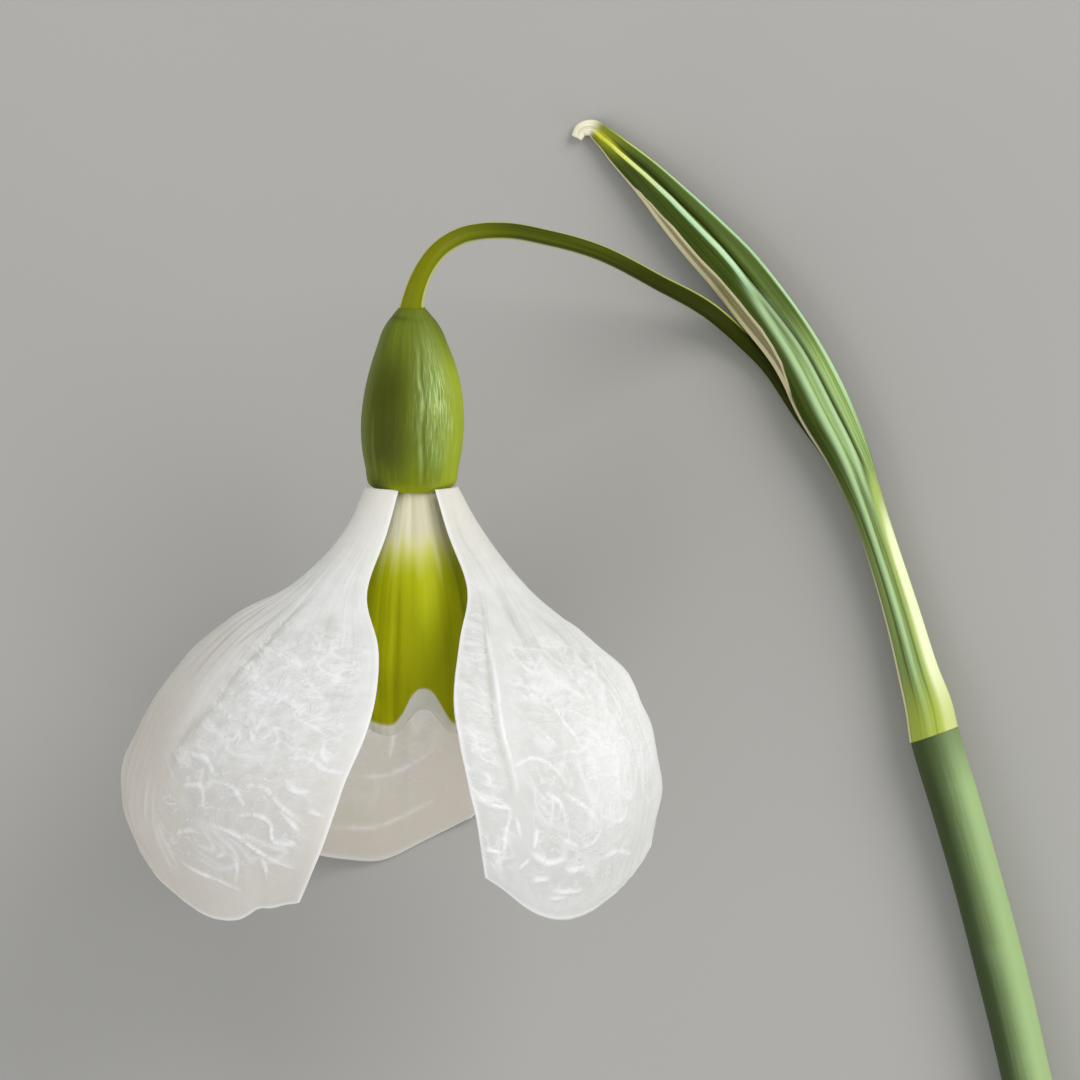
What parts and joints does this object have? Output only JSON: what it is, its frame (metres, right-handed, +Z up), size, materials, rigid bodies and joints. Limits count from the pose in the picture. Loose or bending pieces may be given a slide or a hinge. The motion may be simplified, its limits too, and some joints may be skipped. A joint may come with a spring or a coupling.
{
  "type": "snowdrop flower",
  "caption": "Picked snowdrop flower lying on its cut stem: nodding white bloom with flared outer tepals, notched green inner tepals, ovary, arched pedicel and spathe.",
  "frame": {"origin": "on the surface the flower lies on, under the middle of its box", "axes": "+Z up from the surface; the cut stem runs towards -Y and slightly +X, and the spathe's tip points to +Y; the bloom lies on the -X side with its mouth towards -Y"},
  "size_m": [0.0569, 0.0752, 0.0288],
  "materials": {
    "outer_tepal_white": "satin",
    "inner_tepal_green": "satin",
    "ovary_green": "satin",
    "pedicel_green": "satin",
    "spathe_green": "satin",
    "scape_green": "matte",
    "filament_cream": "satin",
    "anther_orange": "matte",
    "style_green": "satin"
  },
  "bodies": {
    "root": {"scape": "scape_green", "spathe": "spathe_green", "pedicel": "pedicel_green", "ovary": "ovary_green", "outer_tepal_left": "outer_tepal_white", "outer_tepal_right": "outer_tepal_white", "outer_tepal_back": "outer_tepal_white", "inner_tepal_front": "inner_tepal_green", "inner_tepal_right": "inner_tepal_green", "inner_tepal_left": "inner_tepal_green", "filament_1": "filament_cream", "filament_2": "filament_cream", "filament_3": "filament_cream", "filament_4": "filament_cream", "filament_5": "filament_cream", "filament_6": "filament_cream", "anther_1": "anther_orange", "anther_2": "anther_orange", "anther_3": "anther_orange", "anther_4": "anther_orange", "anther_5": "anther_orange", "anther_6": "anther_orange", "style": "style_green"}
  },
  "joints": []
}
